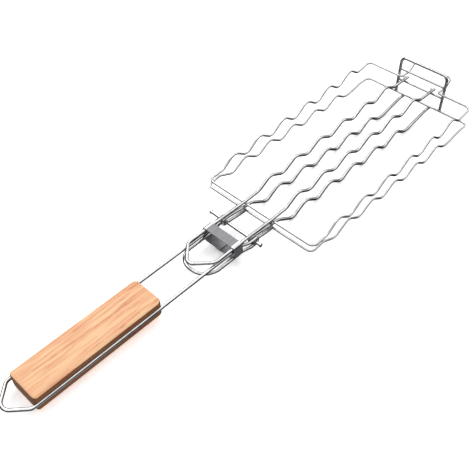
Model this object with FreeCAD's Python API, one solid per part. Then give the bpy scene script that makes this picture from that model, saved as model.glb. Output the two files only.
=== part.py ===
import FreeCAD, Part
import math
import os

from FreeCAD import Vector

# Grill basket: two hinged wire grids, a folding wire handle with a wooden grip,
# and a sliding ring that locks the grids to the handle.  Millimetres, +Z up.
# X runs from the hanging loop to the hinge end, Y across, z = 0 under the lowest bends.
# The drawing zero in X is the near cross bar of the lower grid.

THICK_R = 1.55          # handle, inner bars, bail
THIN_R = 1.1            # border wires, rungs
WELD = 0.1              # how far crossing wires sink into each other at a weld
RUNG_WELD = 0.05        # how far a rung's ends sink into the bail
GAP = 0.3               # air between pieces of different bodies that rest together

# Grids
HALF_WIDTH = 63.7
LOWER_LENGTH = 256.5
UPPER_NEAR_X = 1.8
UPPER_FAR_X = 253.5
CORNER_R = 5.5
SIDE_START = 8.5
SIDE_END = 247.5
LOWER_BAR_Z = 10.9
UPPER_BAR_Z = 16.7
UPPER_FAR_Z = 32.9
WAVE_BEND_R = 9.0
LAST_BEND_R = 20.0      # wider bend where a lower bar climbs gently to the far bar
WAVE_COUNT = 6
LOWER_SIDE_CREST_X = 15.7
LOWER_SIDE_FIRST_Z = 13.3   # the first crest is flattened, clear of the upper grid
LOWER_SIDE_PITCH = 36.1
LOWER_SIDE_HEIGHT = 8.0
LOWER_INNER_TROUGH_X = 31.1
LOWER_INNER_PITCH = 36.4
LOWER_INNER_HEIGHT = 8.0
LOWER_INNER_BROW = (10.0, 12.4)
UPPER_CREST_X = 36.0
UPPER_PITCH = 36.2
UPPER_SIDE_HEIGHT = 8.8
UPPER_INNER_HEIGHT = 7.4
UPPER_SLOPE = 0.051     # rise of the closed upper grid's bars towards the hinge

# Heights that follow from one wire lying on another
INNER_Z = LOWER_BAR_Z + THIN_R + THICK_R - WELD
UPPER_INNER_Z = UPPER_BAR_Z + THIN_R + THICK_R - WELD
UNDER_BAR_Z = LOWER_BAR_Z - THIN_R - THICK_R + WELD

# Fold pin and the wires curled round it
PIN_R = 1.5
PIN_CLEARANCE = 0.08
PIN_X = -25.0
PIN_Z = 12.7
PIN_Y = (-27.5, 35.0)
PIN_HEAD_R = 1.85
PIN_HEAD_LENGTH = 1.2
CURL_R = PIN_R + PIN_CLEARANCE + THICK_R
TAIL_Y = 16.6

# Handle, drawn level and then tipped down about the pin
HANDLE_TIP_DEG = 1.4
ROD_Z = PIN_Z + CURL_R
RETURN_Z = PIN_Z - CURL_R
HANDLE_Y = 16.6
HANDLE_CURL_Y = 20.1
GRIP_X = (-252.5, -130.0)
GRIP_HALF_WIDTH = 16.6
GRIP_HALF_HEIGHT = 8.4
GRIP_RISE = -0.5
GRIP_EDGE_R = 2.4
GROOVE_R = 1.58
HANGER_TIP_X = -274.0
HANGER_BEND_X = -256.0
HANGER_JOINT_X = -251.0
ROD_JOG_X = (-40.4, -31.8)
RETURN_JOG_X = (-39.2, -30.8)
LOOP_HALF = 17.9
LOOP_END_X = -84.0
LOOP_START_X = -64.0
LOOP_R = 16.5

# Hairpin, the closed end of the upper inner bars
HAIRPIN_HALF = 16.8
HAIRPIN_SLOPE = 0.004
HAIRPIN_BEND_X = -70.5
HAIRPIN_TIP_X = -88.3
HAIRPIN_JOINT_X = -3.0
HAIRPIN_KNEE_X = -34.0  # from here on it slopes like the handle, so the ring slides along both

# Sliding ring, drawn level on the level handle
RING_X = (-50.2, -40.2)
RING_SHEET = 0.8
RING_CORNER_R = THICK_R + GAP
RING_TOP_HALF = HAIRPIN_HALF + THICK_R + GAP
RING_BOTTOM_HALF = LOOP_HALF + THICK_R + GAP
RING_Z = (RETURN_Z - THICK_R - GAP, 21.46)

# Hinge end
BAIL_HALF = 28.0
BAIL_Y = -2.0           # the bail and the tab stand a little to the right
BAIL_TOP_Z = 53.6
BAIL_CORNER_R = 6.0
RUNG_Z = (27.0, 39.8)
TAB_HALF = 22.8
TAB_JOINT_Y = 28.0
TAB_BEND_R = 2.6
TAB_KNEE = (268.5, 32.2)
TAB_END = (277.5, 40.3)
INNER_END_X = 260.6


def bend(points):
    """Edges through (point, bend radius) pairs: straight runs joined by tangent arcs."""
    edges = []
    here = points[0][0]
    for i in range(1, len(points) - 1):
        corner, radius = points[i]
        into = (corner - points[i - 1][0]).normalize()
        out = (points[i + 1][0] - corner).normalize()
        half = into.getAngle(out) / 2
        reach = radius * math.tan(half)
        start = corner - into * reach
        if (start - here).dot(into) <= 0:
            raise ValueError("no room for the bend at %s" % corner)
        end = corner + out * reach
        inward = (out - into).normalize()
        middle = corner + inward * (radius / math.cos(half) - radius)
        edges.append(Part.makeLine(here, start))
        edges.append(Part.Arc(start, middle, end).toShape())
        here = end
    edges.append(Part.makeLine(here, points[-1][0]))
    return edges


def wire(edges, radius):
    """A round wire along the edges."""
    spine = Part.Wire(edges)
    first = edges[0]
    start = first.valueAt(first.FirstParameter)
    along = first.tangentAt(first.FirstParameter)
    section = Part.Wire(Part.makeCircle(radius, start, along))
    return spine.makePipeShell([section], True, False)


def straight(start, end, radius):
    return Part.makeCylinder(radius, (end - start).Length, start, end - start)


def overshoot(height, pitch):
    """How far a wave's sharp corner lies beyond its rounded top."""
    over = 0.0
    for _ in range(30):
        slope = math.atan((height + 2 * over) / (pitch / 2))
        over = WAVE_BEND_R * (1 / math.cos(slope) - 1)
    return over


def zigzag(y, first_x, pitch, low, height, slope, start_high, halves):
    """Alternate high and low corners of a wave whose troughs lie on a sloping line."""
    over = overshoot(height, pitch)
    points = []
    for i in range(halves):
        x = first_x + i * pitch / 2
        high = (i % 2 == 0) == start_high
        rise = height + over if high else -over
        points.append((Vector(x, y, low + slope * x + rise), WAVE_BEND_R))
    return points


def upper_wave(y, base_z, height):
    """Corners of an upper bar: a foot, the crests and troughs, and the last foot."""
    over = overshoot(height, UPPER_PITCH)
    run = (height + over) / (height + 2 * over) * UPPER_PITCH / 2
    last_crest = UPPER_CREST_X + (WAVE_COUNT - 1) * UPPER_PITCH
    first, last = UPPER_CREST_X - run, last_crest + run
    points = [(Vector(first, y, base_z + UPPER_SLOPE * first), WAVE_BEND_R)]
    points += zigzag(y, UPPER_CREST_X, UPPER_PITCH, base_z, height, UPPER_SLOPE,
                     True, 2 * WAVE_COUNT - 1)
    points.append((Vector(last, y, base_z + UPPER_SLOPE * last), WAVE_BEND_R))
    return points


def cross_bar(x, z_end, z, end_x):
    """A border bar across the grid with its two rounded corners."""
    return wire(bend([
        (Vector(end_x, -HALF_WIDTH, z_end), 0),
        (Vector(x, -HALF_WIDTH, z), CORNER_R),
        (Vector(x, HALF_WIDTH, z), CORNER_R),
        (Vector(end_x, HALF_WIDTH, z_end), 0),
    ]), THIN_R)


def lower_side_wave(y):
    points = zigzag(y, LOWER_SIDE_CREST_X, LOWER_SIDE_PITCH,
                    LOWER_BAR_Z - LOWER_SIDE_HEIGHT / 2, LOWER_SIDE_HEIGHT, 0,
                    True, 2 * WAVE_COUNT)
    points[0] = (Vector(LOWER_SIDE_CREST_X, y, LOWER_SIDE_FIRST_Z), WAVE_BEND_R)
    return points


def lower_side_start():
    """Height where a lower side wire leaves the near bar's corner, on its way to the first crest."""
    crest = lower_side_wave(0)[0][0]
    return LOWER_BAR_Z + (crest.z - LOWER_BAR_Z) * SIDE_START / crest.x


def lower_side(y):
    points = [(Vector(SIDE_START, y, lower_side_start()), 0)]
    points += lower_side_wave(y)
    trough = points.pop()[0]
    points.append((trough, LAST_BEND_R))
    points.append((Vector(SIDE_END - 7, y, LOWER_BAR_Z), WAVE_BEND_R))
    points.append((Vector(SIDE_END, y, LOWER_BAR_Z), 0))
    return wire(bend(points), THIN_R)


def lower_inner(y):
    """From under the far bar, over the near bar, round the pin and back under the near bar."""
    wave = zigzag(y, LOWER_INNER_TROUGH_X, LOWER_INNER_PITCH,
                  THICK_R, LOWER_INNER_HEIGHT, 0, False, 2 * WAVE_COUNT - 1)
    trough = wave.pop()[0]
    run = [(Vector(LOWER_LENGTH + 2.2, y, UNDER_BAR_Z), 0)]
    run.append((Vector(LOWER_LENGTH - 6, y, UNDER_BAR_Z), WAVE_BEND_R))
    run.append((trough, LAST_BEND_R))
    run += reversed(wave)
    run.append((Vector(LOWER_INNER_BROW[0], y, LOWER_INNER_BROW[1]), WAVE_BEND_R))
    run.append((Vector(0, y, INNER_Z), 12))
    run.append((Vector(PIN_X + 5, y, ROD_Z), 12))
    run.append((Vector(PIN_X, y, ROD_Z), 0))
    curl = Part.Arc(
        Vector(PIN_X, y, ROD_Z),
        Vector(PIN_X - CURL_R, y, PIN_Z),
        Vector(PIN_X, y, RETURN_Z),
    ).toShape()
    back = [
        (Vector(PIN_X, y, RETURN_Z), 0),
        (Vector(PIN_X + 5, y, RETURN_Z), 12),
        (Vector(-3.5, y, UNDER_BAR_Z), 12),
        (Vector(2.6, y, UNDER_BAR_Z), 0),
    ]
    return wire(bend(run) + [curl] + bend(back), THICK_R)


def upper_base(z):
    """Height that a sloping upper bar would have at x = 0."""
    return z - UPPER_SLOPE * UPPER_NEAR_X


def far_corner_start():
    """Height where an upper side wire meets the far bar's corner, on its climb from the last foot."""
    foot = upper_wave(0, upper_base(UPPER_BAR_Z), UPPER_SIDE_HEIGHT)[-1][0]
    climb = (UPPER_FAR_Z - foot.z) / (UPPER_FAR_X - foot.x)
    return UPPER_FAR_Z - climb * (UPPER_FAR_X - SIDE_END)


def upper_side(y):
    base = upper_base(UPPER_BAR_Z)
    points = [(Vector(SIDE_START, y, base + UPPER_SLOPE * SIDE_START), 0)]
    points += upper_wave(y, base, UPPER_SIDE_HEIGHT)
    points.append((Vector(SIDE_END, y, far_corner_start()), 0))
    return wire(bend(points), THIN_R)


def upper_near_bar():
    z_end = upper_base(UPPER_BAR_Z) + UPPER_SLOPE * SIDE_START
    return cross_bar(UPPER_NEAR_X, z_end, UPPER_BAR_Z, SIDE_START)


def upper_far_bar(side):
    return wire(bend([
        (Vector(SIDE_END, side * HALF_WIDTH, far_corner_start()), 0),
        (Vector(UPPER_FAR_X, side * HALF_WIDTH, UPPER_FAR_Z), CORNER_R),
        (Vector(UPPER_FAR_X, BAIL_Y + side * TAB_JOINT_Y, UPPER_FAR_Z), 0),
    ]), THIN_R)


def hairpin_z(x):
    before = UPPER_NEAR_X - max(x, HAIRPIN_KNEE_X)
    past = max(HAIRPIN_KNEE_X - x, 0)
    return UPPER_INNER_Z + HAIRPIN_SLOPE * before - math.tan(math.radians(HANDLE_TIP_DEG)) * past


def upper_inner(y):
    """From the hairpin, over the near bar and along the grid, out through the bail."""
    base = upper_base(UPPER_INNER_Z)
    points = [(Vector(HAIRPIN_JOINT_X, y, hairpin_z(HAIRPIN_JOINT_X)), 0)]
    points.append((Vector(UPPER_NEAR_X, y, UPPER_INNER_Z), 20))
    points += upper_wave(y, base, UPPER_INNER_HEIGHT)
    points.append((Vector(INNER_END_X, y, points[-1][0].z), 0))
    return wire(bend(points), THICK_R)


def hinge_tab():
    """The middle of the upper border wire, hooked out through the bail and turned up."""
    half = []
    for side in (-1, 1):
        half.append([
            (Vector(UPPER_FAR_X, BAIL_Y + side * TAB_JOINT_Y, UPPER_FAR_Z), 0),
            (Vector(UPPER_FAR_X, BAIL_Y + side * TAB_HALF, UPPER_FAR_Z), TAB_BEND_R),
            (Vector(TAB_KNEE[0], BAIL_Y + side * TAB_HALF, TAB_KNEE[1]), 6),
            (Vector(TAB_END[0], BAIL_Y + side * TAB_HALF, TAB_END[1]), 4),
        ])
    return wire(bend(half[0] + list(reversed(half[1]))), THIN_R)


def hairpin():
    """The closed end of the two upper inner bars, which the ring slides over."""
    def at(x, y):
        return Vector(x, y, hairpin_z(x))

    return wire(bend([
        (at(HAIRPIN_JOINT_X, -HAIRPIN_HALF), 0),
        (at(HAIRPIN_KNEE_X, -HAIRPIN_HALF), 40),
        (at(HAIRPIN_BEND_X, -HAIRPIN_HALF), 8),
        (at(HAIRPIN_TIP_X, 0), 6),
        (at(HAIRPIN_BEND_X, HAIRPIN_HALF), 8),
        (at(HAIRPIN_KNEE_X, HAIRPIN_HALF), 40),
        (at(HAIRPIN_JOINT_X, HAIRPIN_HALF), 0),
    ]), THICK_R)


def tipped(shape):
    """A level piece of the handle, tipped down about the fold pin."""
    return shape.rotate(Vector(PIN_X, 0, PIN_Z), Vector(0, 1, 0), -HANDLE_TIP_DEG)


def handle_rod(side):
    """One side of the handle: out of the grip, round the pin and back under itself."""
    y = side * HANDLE_Y
    curl_y = side * HANDLE_CURL_Y
    out = bend([
        (Vector(HANGER_JOINT_X, y, ROD_Z), 0),
        (Vector(ROD_JOG_X[0], y, ROD_Z), 8),
        (Vector(ROD_JOG_X[1], curl_y, ROD_Z), 8),
        (Vector(PIN_X, curl_y, ROD_Z), 0),
    ])
    curl = Part.Arc(
        Vector(PIN_X, curl_y, ROD_Z),
        Vector(PIN_X + CURL_R, curl_y, PIN_Z),
        Vector(PIN_X, curl_y, RETURN_Z),
    ).toShape()
    back = bend([
        (Vector(PIN_X, curl_y, RETURN_Z), 0),
        (Vector(RETURN_JOG_X[1], curl_y, RETURN_Z), 8),
        (Vector(RETURN_JOG_X[0], side * LOOP_HALF, RETURN_Z), 8),
        (Vector(LOOP_START_X - 0.5, side * LOOP_HALF, RETURN_Z), 0),
    ])
    return tipped(wire(out + [curl] + back, THICK_R))


def round_loop():
    return tipped(wire(bend([
        (Vector(LOOP_START_X - 0.5, -LOOP_HALF, RETURN_Z), 0),
        (Vector(LOOP_END_X, -LOOP_HALF, RETURN_Z), LOOP_R),
        (Vector(LOOP_END_X, LOOP_HALF, RETURN_Z), LOOP_R),
        (Vector(LOOP_START_X - 0.5, LOOP_HALF, RETURN_Z), 0),
    ]), THICK_R))


def hanging_loop():
    return tipped(wire(bend([
        (Vector(HANGER_JOINT_X, -HANDLE_Y, ROD_Z), 0),
        (Vector(HANGER_BEND_X, -HANDLE_Y, ROD_Z), 6),
        (Vector(HANGER_TIP_X, 0, ROD_Z), 8),
        (Vector(HANGER_BEND_X, HANDLE_Y, ROD_Z), 6),
        (Vector(HANGER_JOINT_X, HANDLE_Y, ROD_Z), 0),
    ]), THICK_R))


def grip():
    """One wooden block with a groove along each side for the handle wire."""
    length = GRIP_X[1] - GRIP_X[0]
    block = Part.makeBox(
        length, 2 * GRIP_HALF_WIDTH, 2 * GRIP_HALF_HEIGHT,
        Vector(GRIP_X[0], -GRIP_HALF_WIDTH, ROD_Z + GRIP_RISE - GRIP_HALF_HEIGHT),
    )
    long_edges = [e for e in block.Edges if abs(e.Length - length) < 0.01]
    block = block.makeFillet(GRIP_EDGE_R, long_edges)
    for side in (-1, 1):
        groove = Part.makeCylinder(
            GROOVE_R, length + 2,
            Vector(GRIP_X[0] - 1, side * HANDLE_Y, ROD_Z), Vector(1, 0, 0),
        )
        block = block.cut(groove)
    return tipped(block)


def fold_pin():
    """A loose pin with slightly spread ends."""
    left, right = PIN_Y
    pin = straight(Vector(PIN_X, left, PIN_Z), Vector(PIN_X, right, PIN_Z), PIN_R)
    for y, step in ((left, PIN_HEAD_LENGTH), (right, -PIN_HEAD_LENGTH)):
        end = Vector(PIN_X, y, PIN_Z)
        head = straight(end, Vector(PIN_X, y + step, PIN_Z), PIN_HEAD_R)
        pin = pin.fuse(head)
    return pin.removeSplitter()


def ring_outline(x, grow):
    """The ring's section at x, grown outwards by the sheet thickness."""
    bottom = RING_BOTTOM_HALF + grow
    top = RING_TOP_HALF + grow
    low = RING_Z[0] - grow
    high = RING_Z[1] + grow
    radius = RING_CORNER_R + grow
    return Part.Face(Part.Wire(bend([
        (Vector(x, 0, low), 0),
        (Vector(x, bottom, low), radius),
        (Vector(x, top, high), radius),
        (Vector(x, -top, high), radius),
        (Vector(x, -bottom, low), radius),
        (Vector(x, 0, low), 0),
    ])))


def locking_ring():
    run = Vector(RING_X[1] - RING_X[0], 0, 0)
    outside = ring_outline(RING_X[0], RING_SHEET).extrude(run)
    inside = ring_outline(RING_X[0], 0).extrude(run)
    return tipped(outside.cut(inside))


def bail():
    foot_z = LOWER_BAR_Z + THIN_R - WELD
    return wire(bend([
        (Vector(LOWER_LENGTH, BAIL_Y - BAIL_HALF, foot_z), 0),
        (Vector(LOWER_LENGTH, BAIL_Y - BAIL_HALF, BAIL_TOP_Z), BAIL_CORNER_R),
        (Vector(LOWER_LENGTH, BAIL_Y + BAIL_HALF, BAIL_TOP_Z), BAIL_CORNER_R),
        (Vector(LOWER_LENGTH, BAIL_Y + BAIL_HALF, foot_z), 0),
    ]), THICK_R)


def bail_rung(z):
    half = BAIL_HALF - THICK_R + RUNG_WELD
    return straight(
        Vector(LOWER_LENGTH, BAIL_Y - half, z), Vector(LOWER_LENGTH, BAIL_Y + half, z), THIN_R)


nodes = {
    "lower_near_bar": cross_bar(0, lower_side_start(), LOWER_BAR_Z, SIDE_START),
    "lower_far_bar": cross_bar(LOWER_LENGTH, LOWER_BAR_Z, LOWER_BAR_Z, SIDE_END),
    "lower_side_left": lower_side(HALF_WIDTH),
    "lower_side_right": lower_side(-HALF_WIDTH),
    "lower_inner_left": lower_inner(TAIL_Y),
    "lower_inner_right": lower_inner(-TAIL_Y),
    "bail": bail(),
    "bail_rung_upper": bail_rung(RUNG_Z[1]),
    "bail_rung_lower": bail_rung(RUNG_Z[0]),
    "fold_pin": fold_pin(),
    "upper_near_bar": upper_near_bar(),
    "upper_side_left": upper_side(HALF_WIDTH),
    "upper_side_right": upper_side(-HALF_WIDTH),
    "upper_far_bar_left": upper_far_bar(1),
    "upper_far_bar_right": upper_far_bar(-1),
    "hinge_tab": hinge_tab(),
    "upper_inner_left": upper_inner(HAIRPIN_HALF),
    "upper_inner_right": upper_inner(-HAIRPIN_HALF),
    "hairpin": hairpin(),
    "handle_rod_left": handle_rod(1),
    "handle_rod_right": handle_rod(-1),
    "round_loop": round_loop(),
    "hanging_loop": hanging_loop(),
    "grip": grip(),
    "locking_ring": locking_ring(),
}

# The part's origin is under the middle of the whole
whole = Part.makeCompound(list(nodes.values())).optimalBoundingBox(False)
middle = Vector((whole.XMin + whole.XMax) / 2, 0, whole.ZMin)
print("middle %.4f %.4f  height %.4f  pin x %.4f z %.4f  rung x %.4f z %.4f" % (
    middle.x, middle.z, whole.ZMax - whole.ZMin,
    PIN_X - middle.x, PIN_Z - middle.z, LOWER_LENGTH - middle.x, RUNG_Z[1] - middle.z,
))

os.makedirs("parts", exist_ok=True)
for name, shape in nodes.items():
    shape.translate(-middle)
    shape.exportStep("parts/" + name + ".step")
    box = shape.optimalBoundingBox(False)
    print("%-20s solids %d valid %s volume %9.2f  x %8.2f %8.2f  y %7.2f %7.2f  z %6.2f %6.2f" % (
        name, len(shape.Solids), shape.isValid(), shape.Volume,
        box.XMin, box.XMax, box.YMin, box.YMax, box.ZMin, box.ZMax,
    ))
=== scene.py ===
import math

import bmesh
import bpy
from mathutils import Matrix, Vector, noise


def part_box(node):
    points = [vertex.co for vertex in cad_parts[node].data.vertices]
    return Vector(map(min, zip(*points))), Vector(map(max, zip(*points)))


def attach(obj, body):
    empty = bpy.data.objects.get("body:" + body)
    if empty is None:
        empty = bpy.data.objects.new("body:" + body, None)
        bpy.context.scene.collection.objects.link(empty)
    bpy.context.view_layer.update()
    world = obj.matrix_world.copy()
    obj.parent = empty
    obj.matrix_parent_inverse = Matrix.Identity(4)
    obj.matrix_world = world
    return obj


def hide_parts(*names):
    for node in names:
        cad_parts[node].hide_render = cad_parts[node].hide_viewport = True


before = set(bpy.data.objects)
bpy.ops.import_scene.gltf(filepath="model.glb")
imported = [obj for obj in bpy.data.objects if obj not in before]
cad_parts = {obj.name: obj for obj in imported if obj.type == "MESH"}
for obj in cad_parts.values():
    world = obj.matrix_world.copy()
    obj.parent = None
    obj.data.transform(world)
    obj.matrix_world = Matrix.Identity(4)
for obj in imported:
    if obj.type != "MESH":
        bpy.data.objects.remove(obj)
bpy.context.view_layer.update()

MM = 0.001
THIN_R = 1.1 * MM                        # radius of the light wire


# ---------------------------------------------------------------- materials

def new_material(name):
    made = bpy.data.materials.new(name)
    made.use_nodes = True
    tree = made.node_tree
    return made, tree, tree.nodes["Principled BSDF"]


def add(tree, kind, **inputs):
    """A node with the given input values, or links where a value is an output."""
    made = tree.nodes.new(kind)
    for key, value in inputs.items():
        socket = made.inputs[key.replace("_", " ")]
        if isinstance(value, bpy.types.NodeSocket):
            tree.links.new(value, socket)
        else:
            socket.default_value = value
    return made


def place(tree, scale, shift=(0, 0, 0)):
    """Object coordinates, stretched."""
    where = tree.nodes.new("ShaderNodeTexCoord").outputs["Object"]
    mapped = add(tree, "ShaderNodeMapping", Vector=where, Scale=scale, Location=shift)
    return mapped.outputs["Vector"]


def cloud(tree, vector, **settings):
    """Soft noise over a vector, about 0 to 1."""
    return add(tree, "ShaderNodeTexNoise", Vector=vector, **settings).outputs["Fac"]


def ramp(tree, value, *stops):
    """A value turned into a colour by (place, grey or colour) stops, in order."""
    made = add(tree, "ShaderNodeValToRGB", Fac=value)
    points = made.color_ramp.elements
    points.remove(points[1])
    for i, (at, colour) in enumerate(stops):
        point = points.new(at) if i else points[0]
        point.position = at
        point.color = (*colour, 1) if isinstance(colour, tuple) else (colour, colour, colour, 1)
    return made.outputs["Color"]


def mix(tree, amount, one, other, kind="MIX"):
    made = tree.nodes.new("ShaderNodeMix")
    made.data_type = "RGBA"
    made.blend_type = kind
    factor, first, second = made.inputs[0], made.inputs[6], made.inputs[7]
    for socket, value in ((factor, amount), (first, one), (second, other)):
        if isinstance(value, bpy.types.NodeSocket):
            tree.links.new(value, socket)
        else:
            socket.default_value = value if isinstance(value, float) else (*value, 1)
    return made.outputs[2]


def spread(tree, value, low, high):
    """A 0 to 1 value stretched to run from low to high."""
    made = add(tree, "ShaderNodeMapRange", Value=value)
    made.inputs["To Min"].default_value = low
    made.inputs["To Max"].default_value = high
    return made.outputs["Result"]


def surface(tree, shader, colour, roughness, height, strength, depth):
    """Gives the shader its colour, roughness and bump."""
    tree.links.new(colour, shader.inputs["Base Color"])
    tree.links.new(roughness, shader.inputs["Roughness"])
    bump = add(tree, "ShaderNodeBump", Height=height, Strength=strength, Distance=depth)
    tree.links.new(bump.outputs["Normal"], shader.inputs["Normal"])


def bright_wire():
    """Polished wire with faint drawing marks and handling smears."""
    made, tree, shader = new_material("bright_wire")
    shader.inputs["Metallic"].default_value = 1.0
    # The dark edge tint darkens the wire towards its outline: a painted dark reflection.
    shader.inputs["Specular Tint"].default_value = (0.15, 0.15, 0.16, 1)
    fine = cloud(tree, place(tree, (900, 900, 900)), Detail=4.0)
    smear = cloud(tree, place(tree, (60, 60, 60)), Detail=2.0)
    colour = ramp(tree, smear, (0.3, (0.50, 0.51, 0.53)), (0.6, (0.65, 0.65, 0.65)))
    surface(tree, shader, colour, spread(tree, smear, 0.10, 0.22), fine, 0.12, 0.0001)
    return made


def brushed_sheet():
    """Dull sheet steel with brushing lines along the handle."""
    made, tree, shader = new_material("brushed_sheet")
    shader.inputs["Metallic"].default_value = 0.7
    lines = cloud(tree, place(tree, (60, 3600, 3600)), Detail=3.0)
    broad = cloud(tree, place(tree, (25, 500, 500)), Detail=2.0)
    tone = mix(tree, 0.5, lines, broad)
    colour = ramp(tree, tone, (0.3, (0.13, 0.13, 0.14)), (0.7, (0.29, 0.29, 0.30)))
    surface(tree, shader, colour, spread(tree, tone, 0.38, 0.58), lines, 0.3, 0.0001)
    return made


def beech(name, shade):
    """Bare beech: long pinkish streaks, a paler stripe and open pores, all multiplied by one
    shade colour, which on the sides is painted shade.
    """
    made, tree, shader = new_material(name)
    sway = add(tree, "ShaderNodeTexNoise", Vector=place(tree, (14, 50, 50)), Detail=1.0)
    bent = mix(tree, 0.9, place(tree, (7, 330, 330)), sway.outputs["Color"], "ADD")
    grain = cloud(tree, bent, Scale=1.0, Detail=5.0, Roughness=0.6)
    streak = ramp(
        tree, grain,
        (0.30, (0.52, 0.19, 0.09)), (0.43, (0.76, 0.38, 0.21)),
        (0.55, (0.83, 0.48, 0.28)), (0.72, (0.88, 0.58, 0.35)),
    )
    band = cloud(tree, place(tree, (5, 75, 75), shift=(0, 0.3, 0)), Detail=1.0)
    pale = ramp(tree, band, (0.46, 0.0), (0.62, 0.75))
    base = mix(tree, pale, streak, (0.90, 0.62, 0.36))
    pores = cloud(tree, place(tree, (130, 1900, 1900)), Detail=2.0)
    pore = ramp(tree, pores, (0.30, 0.0), (0.42, 1.0))
    base = mix(tree, 0.12, base, mix(tree, 1.0, base, pore, "MULTIPLY"))
    base = mix(tree, 1.0, base, shade, "MULTIPLY")
    surface(tree, shader, base, spread(tree, grain, 0.66, 0.5), pore, 0.2, 0.0002)
    shader.inputs["Specular IOR Level"].default_value = 0.25
    return made


WIRE = bright_wire()
SHEET = brushed_sheet()
BEECH = beech("beech", (0.92, 0.88, 0.86))
BEECH_PAINTED_SHADE = beech("beech_painted_shade_side", (0.22, 0.135, 0.085))      # painted shade on the sides and ends, over the end grain's own darker tone

for name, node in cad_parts.items():
    node.data.materials.clear()
    node.data.materials.append({"grip": BEECH, "locking_ring": SHEET}.get(name, WIRE))
    for face in node.data.polygons:
        face.material_index = 0


# ---------------------------------------------------------------- own pieces

# Places on the grids are measured from the lower near bar's centre line
near_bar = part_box("lower_near_bar")
zero_x = near_bar[0].x + THIN_R
zero_z = near_bar[0].z + THIN_R

# Places on the handle are measured from the fold pin's axis, about which it is tipped down
PIN = (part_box("fold_pin")[0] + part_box("fold_pin")[1]) / 2
TIP = Matrix.Rotation(math.radians(-1.4), 4, "Y")

SHARP_DEG = 38                           # edges sharper than this are not shaded smooth


def tipped(point):
    """A point of the level handle, given in mm from the fold pin's axis, on the tipped handle."""
    return Vector((PIN.x, 0, PIN.z)) + TIP @ (Vector(point) * MM)


def as_piece(name, shape, looks, body):
    """A bmesh made into a smooth piece that rides on a body."""
    mesh = bpy.data.meshes.new(name)
    shape.to_mesh(mesh)
    shape.free()
    for material in looks:
        mesh.materials.append(material)
    mesh.shade_smooth()
    piece = bpy.data.objects.new(name, mesh)
    bpy.context.scene.collection.objects.link(piece)
    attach(piece, body)
    return piece


def skin(name, rows, caps, looks, body):
    """A closed skin over rings of points.  caps lists the faces of each end by point number."""
    shape = bmesh.new()
    grid = [[shape.verts.new(point) for point in row] for row in rows]
    count = len(grid[0])
    for a, b in zip(grid, grid[1:]):
        for i in range(count):
            j = (i + 1) % count
            shape.faces.new((a[i], a[j], b[j], b[i]))
    for row in (grid[0], grid[-1]):
        for cap in caps:
            shape.faces.new([row[i] for i in cap])
    bmesh.ops.recalc_face_normals(shape, faces=shape.faces[:])
    piece = as_piece(name, shape, looks, body)
    piece.data.set_sharp_from_angle(angle=math.radians(SHARP_DEG))
    return piece


# Grip, in mm from the pin
ROD_UP = 3.13                            # the handle wire lies this far above the pin
GRIP_NEAR, GRIP_NEAR_CORNER = -227.5, 2.6
GRIP_FAR, GRIP_FAR_CORNER = -105.0, 4.2
GRIP_HALF, GRIP_DEPTH = 16.6, 8.4        # half its width and half its thickness
GRIP_RISE = -0.5                         # its middle above the wire
GRIP_EDGE = 2.4                          # rounding of the long edges
GRIP_END_EDGE = 1.3                      # rounding of the end faces' upper and lower edges
GROOVE_R = 1.58
GROOVE_KEEP = 3                          # the end rounding leaves heights below this alone
CORNER_STEPS = 8


def grip_side():
    """(distance from the middle, height) down one side of the block, before the groove is cut."""
    edge = []
    for i in range(7):
        turn = math.radians(90 - 15 * i)
        edge.append((GRIP_HALF - GRIP_EDGE * (1 - math.cos(turn)),
                     GRIP_DEPTH - GRIP_EDGE * (1 - math.sin(turn))))
    groove = [(GRIP_HALF, GROOVE_R * math.sin(math.radians(turn)) - GRIP_RISE)
              for turn in range(90, -91, -15)]
    return edge + groove + [(y, -z) for y, z in reversed(edge)]


def grip_row(x, inset, drop):
    """A ring of points round the block at x, drawn in at the sides, the top and the bottom."""
    row = []
    for side in (1, -1):
        for y, z in grip_side()[::side]:
            y -= inset * y / GRIP_HALF
            if abs(z) > GROOVE_KEEP:
                z *= (GRIP_DEPTH - drop) / GRIP_DEPTH
            hollow = GROOVE_R ** 2 - (z + GRIP_RISE) ** 2
            if hollow > 0:
                y = min(y, GRIP_HALF - math.sqrt(hollow))
            row.append(tipped((x, side * y, ROD_UP + GRIP_RISE + z)))
    return row


def grip():
    """The wooden block, its upright corners rounded, more so at the far end."""
    rows = []
    for end, corner, way in ((GRIP_NEAR, GRIP_NEAR_CORNER, 1), (GRIP_FAR, GRIP_FAR_CORNER, -1)):
        part = []
        for i in range(CORNER_STEPS + 1):
            along = corner * (1 - math.cos(math.radians(90 * i / CORNER_STEPS)))
            inset = corner - math.sqrt(corner ** 2 - (corner - along) ** 2)
            short = max(GRIP_END_EDGE - along, 0)
            drop = GRIP_END_EDGE - math.sqrt(GRIP_END_EDGE ** 2 - short ** 2)
            part.append(grip_row(end + way * along, inset, drop))
        rows += part[::way]
    caps = [range(len(rows[0]))]
    piece = skin("wooden_grip", rows, caps, (BEECH, BEECH_PAINTED_SHADE), "handle")
    # Faces that don't lie flat take the darkened beech: painted shade on the sides and ends.
    level = TIP.inverted()
    for face in piece.data.polygons:
        lies_flat = abs((level @ face.normal).z) > 0.6
        face.material_index = 0 if lies_flat else 1
    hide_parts("grip")


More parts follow.
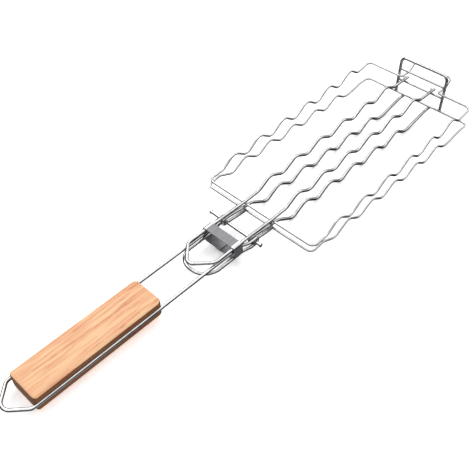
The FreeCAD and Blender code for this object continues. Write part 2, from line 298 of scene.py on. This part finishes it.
# Locking ring, in mm from the pin.  Heights are those of the strip's middle line.
SHEET_HALF = 0.4
RING_FRONT, RING_BACK = -15.2, -25.2
RING_BURR = 0.12                         # the cut edges are broken by this much
RING_FLOOR, RING_LAP = -5.38, -6.24      # the lower side, and the end lapped under it
RING_PLATE = 8.91                        # the top side between the ears
EAR_R = 2.25                             # round the hairpin's leg
EAR_Y, EAR_Z = 16.8, 6.91
CORNER_Y, CORNER_Z = 15.4, -0.9          # middle of the bulging lower corner
CORNER_ACROSS, CORNER_TALL = 4.6, 4.5
HIGHLIGHT_EAR_Y, HIGHLIGHT_EAR_Z = 15.9, 7     # painted highlight: upward faces further out and higher than this take the bright wire


def ring_line():
    """The strip's middle line, (across, up), from one lapped end to the other."""
    lap = [(4.0, RING_LAP), (-2.5, RING_LAP), (-4.5, -5.42), (-CORNER_Y, RING_FLOOR)]
    side = []
    for i in range(1, 8):                            # lower corner
        turn = math.radians(-90 - 90 * i / 7)
        side.append((-CORNER_Y + CORNER_ACROSS * math.cos(turn),
                     CORNER_Z + CORNER_TALL * math.sin(turn)))
    side += [(-19.75, 2.6), (-19.25, 5.5)]
    for i in range(7):                               # ear
        turn = math.radians(180 - 15 * i)
        side.append((-EAR_Y + EAR_R * math.cos(turn), EAR_Z + EAR_R * math.sin(turn)))
    side += [(-15.6, 9.10), (-14.6, 8.95), (-12.0, RING_PLATE)]
    other_side = [(-y, z) for y, z in reversed(side)]
    return lap + side + other_side + [(CORNER_Y, RING_FLOOR), (-1.2, RING_FLOOR)]


def locking_ring():
    """Bent strip with its ends lapped underneath, in place of the plain CAD ring."""
    line = [Vector(point) for point in ring_line()]
    inner, outer = [], []
    for i, point in enumerate(line):
        along = (line[min(i + 1, len(line) - 1)] - line[max(i - 1, 0)]).normalized()
        out = Vector((-along.y, along.x)) * SHEET_HALF
        inner.append(point - out)
        outer.append(point + out)
    loop = outer + inner[::-1]
    middle = line + line[::-1]
    rows = []
    for x, burr in ((RING_BACK, RING_BURR), (RING_BACK + RING_BURR, 0.0),
                    (RING_FRONT - RING_BURR, 0.0), (RING_FRONT, RING_BURR)):
        rows.append([tipped((x, *(p + (m - p).normalized() * burr)))
                     for p, m in zip(loop, middle)])
    last = len(loop) - 1
    caps = [(i, i + 1, last - 1 - i, last - i) for i in range(len(line) - 1)]
    piece = skin("bent_ring", rows, caps, (SHEET, WIRE), "ring")
    # The ears' upward faces get the bright wire material: a painted highlight.
    for face in piece.data.polygons:
        outside = abs(face.center.y) > HIGHLIGHT_EAR_Y * MM
        high = face.center.z - PIN.z > HIGHLIGHT_EAR_Z * MM
        if outside and high and face.normal.z > 0.35:
            face.material_index = 1
    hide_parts("locking_ring")


# Where the welded wires cross, in mm from the lower near bar
LOWER_INNER_Y, LOWER_FAR_X = 16.6, 256.5
BAIL_Y = -2
BAIL_FOOT, BAIL_RUNG = 28, 26.4          # from the bail's middle
RUNG_LEVELS = (16.1, 28.9)
UPPER_INNER_Y = 16.8
UPPER_NEAR_X, UPPER_NEAR_Z = 1.8, 6.9
UPPER_FAR_X, UPPER_FAR_Z = 253.5, 23.1
WELD_UNEVEN = 0.22


def welds(name, body, beads):
    """Small uneven beads: (x, y, z, along, across, tall), the last three as radii."""
    shape = bmesh.new()
    for number, (x, y, z, along, across, tall) in enumerate(beads):
        ball = bmesh.ops.create_icosphere(shape, subdivisions=3, radius=MM)["verts"]
        where = Vector((zero_x + x * MM, y * MM, zero_z + z * MM))
        for vert in ball:
            at = vert.co * 900 + Vector((number * 7.3, 0, 0))
            lump = 1 + WELD_UNEVEN * noise.noise(at)
            size = Vector((vert.co.x * along, vert.co.y * across, vert.co.z * tall))
            vert.co = where + size * lump
    as_piece(name, shape, (WIRE,), body)


def lower_beads():
    """Inner bars on the near and far bars, the bail on the far bar, and the rungs on the bail."""
    near = [(0, side * LOWER_INNER_Y, z, 1.9, 1.7, 0.8) for side in (1, -1) for z in (1.1, -1.1)]
    far = [(LOWER_FAR_X, side * LOWER_INNER_Y, -1.1, 1.8, 1.7, 0.8) for side in (1, -1)]
    feet = [(LOWER_FAR_X, BAIL_Y + side * BAIL_FOOT, 1.3, 1.7, 2.0, 0.9) for side in (1, -1)]
    rungs = [(LOWER_FAR_X, BAIL_Y + side * BAIL_RUNG, z, 1.5, 0.9, 1.5)
             for side in (1, -1) for z in RUNG_LEVELS]
    return near + far + feet + rungs


def upper_beads():
    """Inner bars on the near and far bars."""
    near = [(UPPER_NEAR_X, side * UPPER_INNER_Y, UPPER_NEAR_Z, 1.9, 1.8, 0.8) for side in (1, -1)]
    far = [(UPPER_FAR_X, side * UPPER_INNER_Y, UPPER_FAR_Z, 1.8, 1.8, 0.8) for side in (1, -1)]
    return near + far


grip()
locking_ring()
welds("welds_lower", "lower_grid", lower_beads())
welds("welds_upper", "upper_grid", upper_beads())


# ---------------------------------------------------------------- floor and light

def plain_floor():
    bpy.ops.mesh.primitive_plane_add(size=8, location=(0, 0, -0.0002))
    floor = bpy.context.object
    floor.name = "floor"
    made, tree, shader = new_material("floor_paper")
    tone = cloud(tree, place(tree, (3, 3, 3)), Detail=1.0)
    tree.links.new(ramp(tree, tone, (0.3, 0.92), (0.7, 0.94)), shader.inputs["Base Color"])
    shader.inputs["Roughness"].default_value = 0.9
    shader.inputs["Specular IOR Level"].default_value = 0.1
    shader.inputs["Emission Color"].default_value = (1, 1, 1, 1)
    shader.inputs["Emission Strength"].default_value = 0.3
    made.cycles.emission_sampling = "NONE"          # the paper's glow is not a lamp
    floor.data.materials.append(made)
    floor.visible_glossy = False                    # the wires mirror a dark studio below


def key_light():
    data = bpy.data.lights.new("key", "AREA")
    data.shape = "RECTANGLE"
    data.size, data.size_y = 1.0, 0.7
    data.energy = 5
    lamp = bpy.data.objects.new("key", data)
    lamp.location = (0.1, 0.8, 1.0)
    lamp.rotation_euler = (-lamp.location).to_track_quat("-Z", "Y").to_euler()
    lamp.visible_camera = False
    bpy.context.scene.collection.objects.link(lamp)


def dot(tree, vector, weights):
    made = tree.nodes.new("ShaderNodeVectorMath")
    made.operation = "DOT_PRODUCT"
    tree.links.new(vector, made.inputs[0])
    made.inputs[1].default_value = weights
    return made.outputs["Value"]


def studio():
    """Bright overhead and beyond the hinge end, with dark flags along both sides of the table."""
    world = bpy.data.worlds.new("studio")
    bpy.context.scene.world = world
    world.use_nodes = True
    tree = world.node_tree
    direction = tree.nodes.new("ShaderNodeTexCoord").outputs["Generated"]
    either_way = tree.nodes.new("ShaderNodeVectorMath")
    either_way.operation = "ABSOLUTE"
    tree.links.new(direction, either_way.inputs[0])
    height = tree.nodes.new("ShaderNodeMath")       # adds
    tree.links.new(dot(tree, direction, (0.25, 0.0, 1.0)), height.inputs[0])
    tree.links.new(dot(tree, either_way.outputs["Vector"], (0.4, -0.35, 0.0)), height.inputs[1])
    level = add(tree, "ShaderNodeMapRange", Value=height.outputs[0])
    level.inputs["From Min"].default_value = -1.0
    glow = ramp(tree, level.outputs["Result"],
                (0.08, 0.45), (0.20, 0.03), (0.57, 0.02), (0.72, 0.35), (0.86, 1.0))
    tree.links.new(glow, tree.nodes["Background"].inputs["Color"])
    tree.nodes["Background"].inputs["Strength"].default_value = 1.45


plain_floor()
key_light()
studio()
bpy.context.scene.view_settings.view_transform = "Standard"


# ---------------------------------------------------------------- camera

CAMERA_BACK, CAMERA_RIGHT, CAMERA_UP = 0.3421, 0.3012, 0.4431      # from the lower near bar
CAMERA_PITCH_DEG, CAMERA_TURN_DEG = 44.34, -46.08

lens = bpy.data.cameras.new("camera")
lens.sensor_width = 36.0
lens.lens = 53.32
lens.clip_start = 0.01
lens.clip_end = 20
camera = bpy.data.objects.new("camera", lens)
camera.location = (zero_x - CAMERA_BACK, -CAMERA_RIGHT, zero_z + CAMERA_UP)
camera.rotation_euler = (math.radians(CAMERA_PITCH_DEG), 0, math.radians(CAMERA_TURN_DEG))
bpy.context.scene.collection.objects.link(camera)
bpy.context.scene.camera = camera
